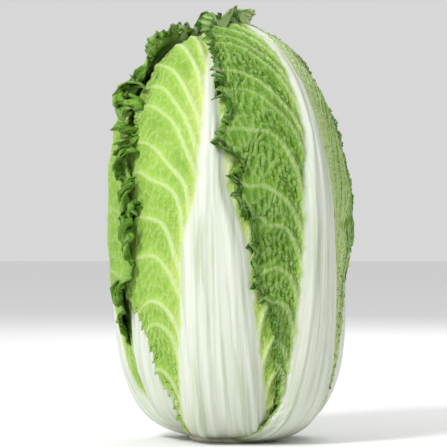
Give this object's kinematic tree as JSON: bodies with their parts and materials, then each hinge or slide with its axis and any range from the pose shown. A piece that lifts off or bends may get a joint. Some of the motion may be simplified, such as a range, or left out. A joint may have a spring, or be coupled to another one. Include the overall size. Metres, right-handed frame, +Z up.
{
  "type": "napa_cabbage",
  "caption": "Whole napa cabbage head, barrel shaped, with broad white ribs, overlapping crinkled green leaves, a frilled crown and a cut stump.",
  "frame": {"origin": "centre of the cut face of the stump, on which the head stands", "axes": "+Z up through the head, -Y towards the front with the broad middle rib, +X to the viewer's right"},
  "size_m": [0.1701, 0.1724, 0.2915],
  "materials": {
    "outer_leaf": "satin",
    "heart_leaf": "satin",
    "stump": "matte"
  },
  "bodies": {
    "root": {"stump": "stump", "heart_bud": "heart_leaf", "leaf_01": "outer_leaf", "leaf_02": "outer_leaf", "leaf_03": "outer_leaf", "leaf_04": "outer_leaf", "leaf_05": "outer_leaf", "leaf_06": "outer_leaf", "leaf_07": "outer_leaf", "leaf_08": "outer_leaf", "leaf_09": "outer_leaf", "leaf_10": "outer_leaf", "leaf_11": "outer_leaf", "leaf_12": "outer_leaf", "leaf_13": "outer_leaf", "leaf_14": "outer_leaf", "leaf_15": "outer_leaf", "leaf_16": "outer_leaf", "leaf_17": "outer_leaf", "leaf_18": "outer_leaf", "leaf_19": "heart_leaf", "leaf_20": "heart_leaf", "leaf_21": "heart_leaf", "leaf_22": "heart_leaf", "leaf_23": "heart_leaf", "leaf_24": "heart_leaf", "leaf_25": "heart_leaf", "leaf_26": "heart_leaf", "leaf_27": "heart_leaf", "leaf_28": "heart_leaf", "leaf_29": "heart_leaf", "leaf_30": "heart_leaf", "leaf_31": "heart_leaf", "leaf_32": "heart_leaf"}
  },
  "joints": []
}
